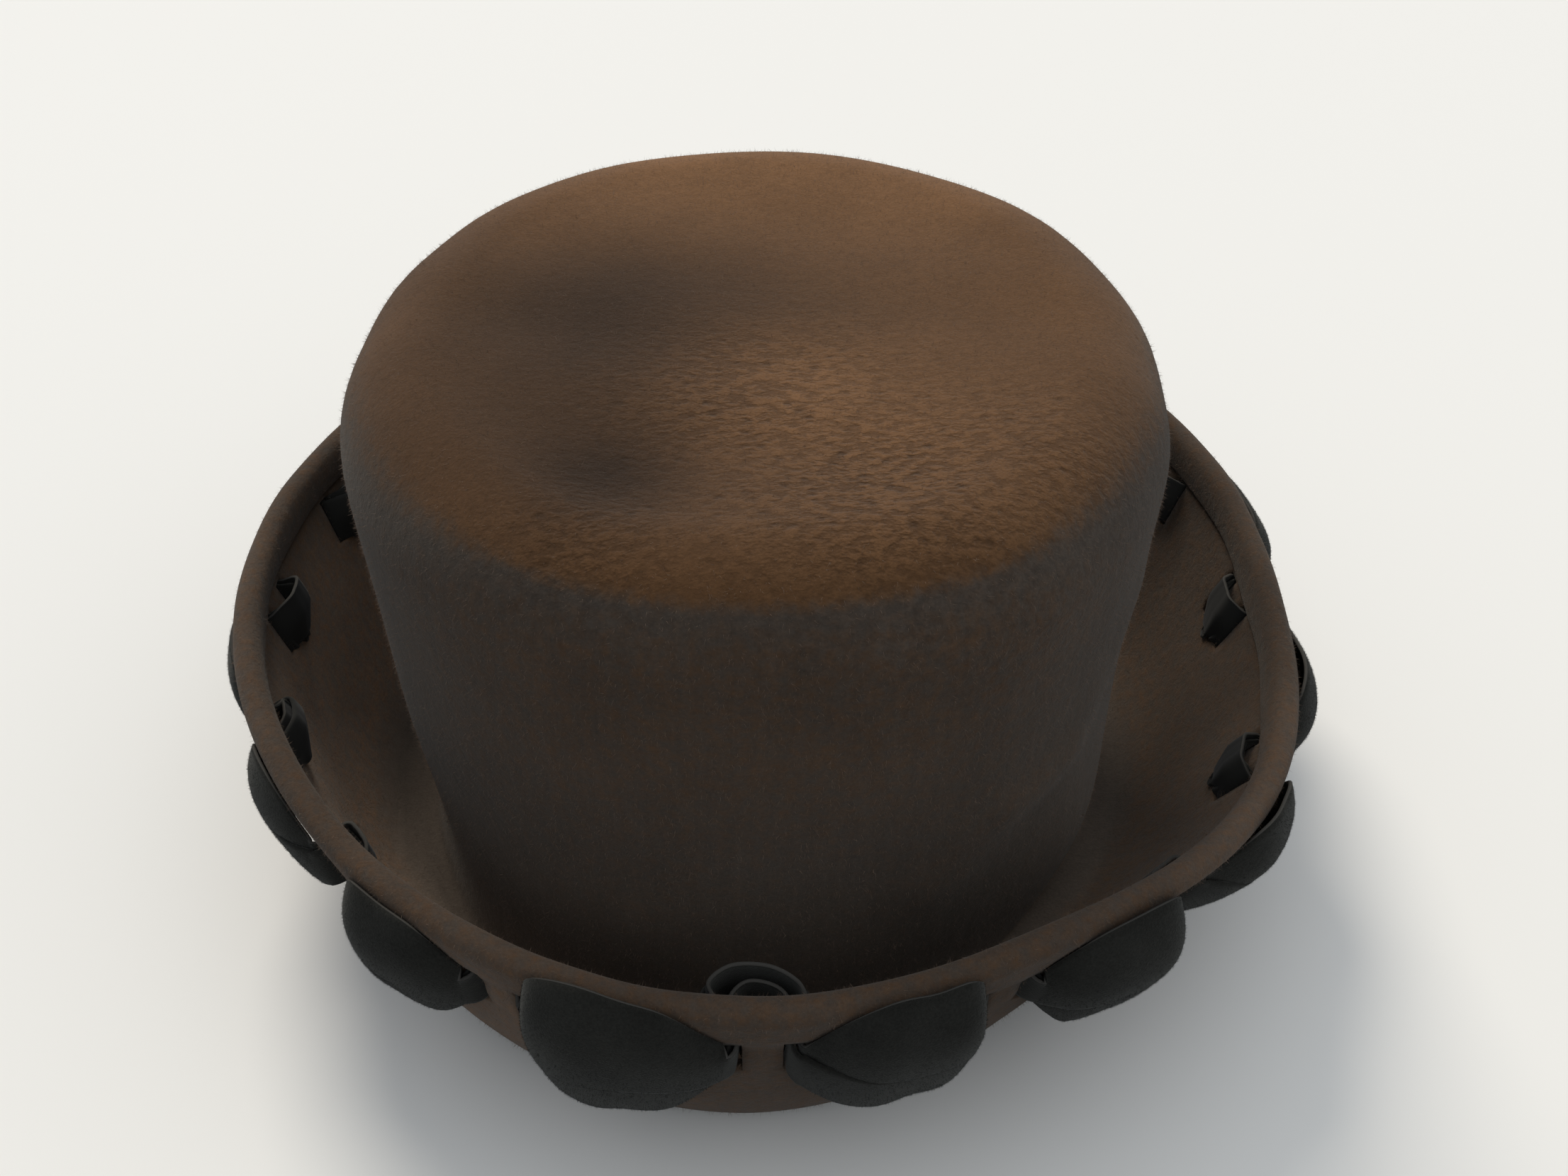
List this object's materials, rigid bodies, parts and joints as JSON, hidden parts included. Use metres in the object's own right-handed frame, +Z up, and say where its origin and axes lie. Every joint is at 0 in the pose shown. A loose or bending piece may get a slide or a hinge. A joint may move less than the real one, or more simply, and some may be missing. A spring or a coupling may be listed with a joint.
{
  "type": "breton hat",
  "caption": "Brown velour felt hat with a tall flat-topped oval crown and a deep brim turned up all round, trimmed with black velvet ribbon laced through the brim; worn on the head.",
  "frame": {"origin": "bottom centre of the hat's bounding box, on the surface that the brim's resting ring stands on", "axes": "+Z up out of the crown's tip, +Y towards the front of the hat as worn, +X towards the wearer's right"},
  "size_m": [0.2618, 0.2806, 0.133],
  "materials": {
    "felt": "brown velour fur felt with a short brushed nap, matt with a soft lighter sheen where the nap catches the light",
    "velvet": "black cotton velvet ribbon, deep matt pile outside and a smooth dark satin back"
  },
  "bodies": {
    "root": {"felt_hat": "felt", "velvet_ribbon": "velvet"}
  },
  "joints": []
}
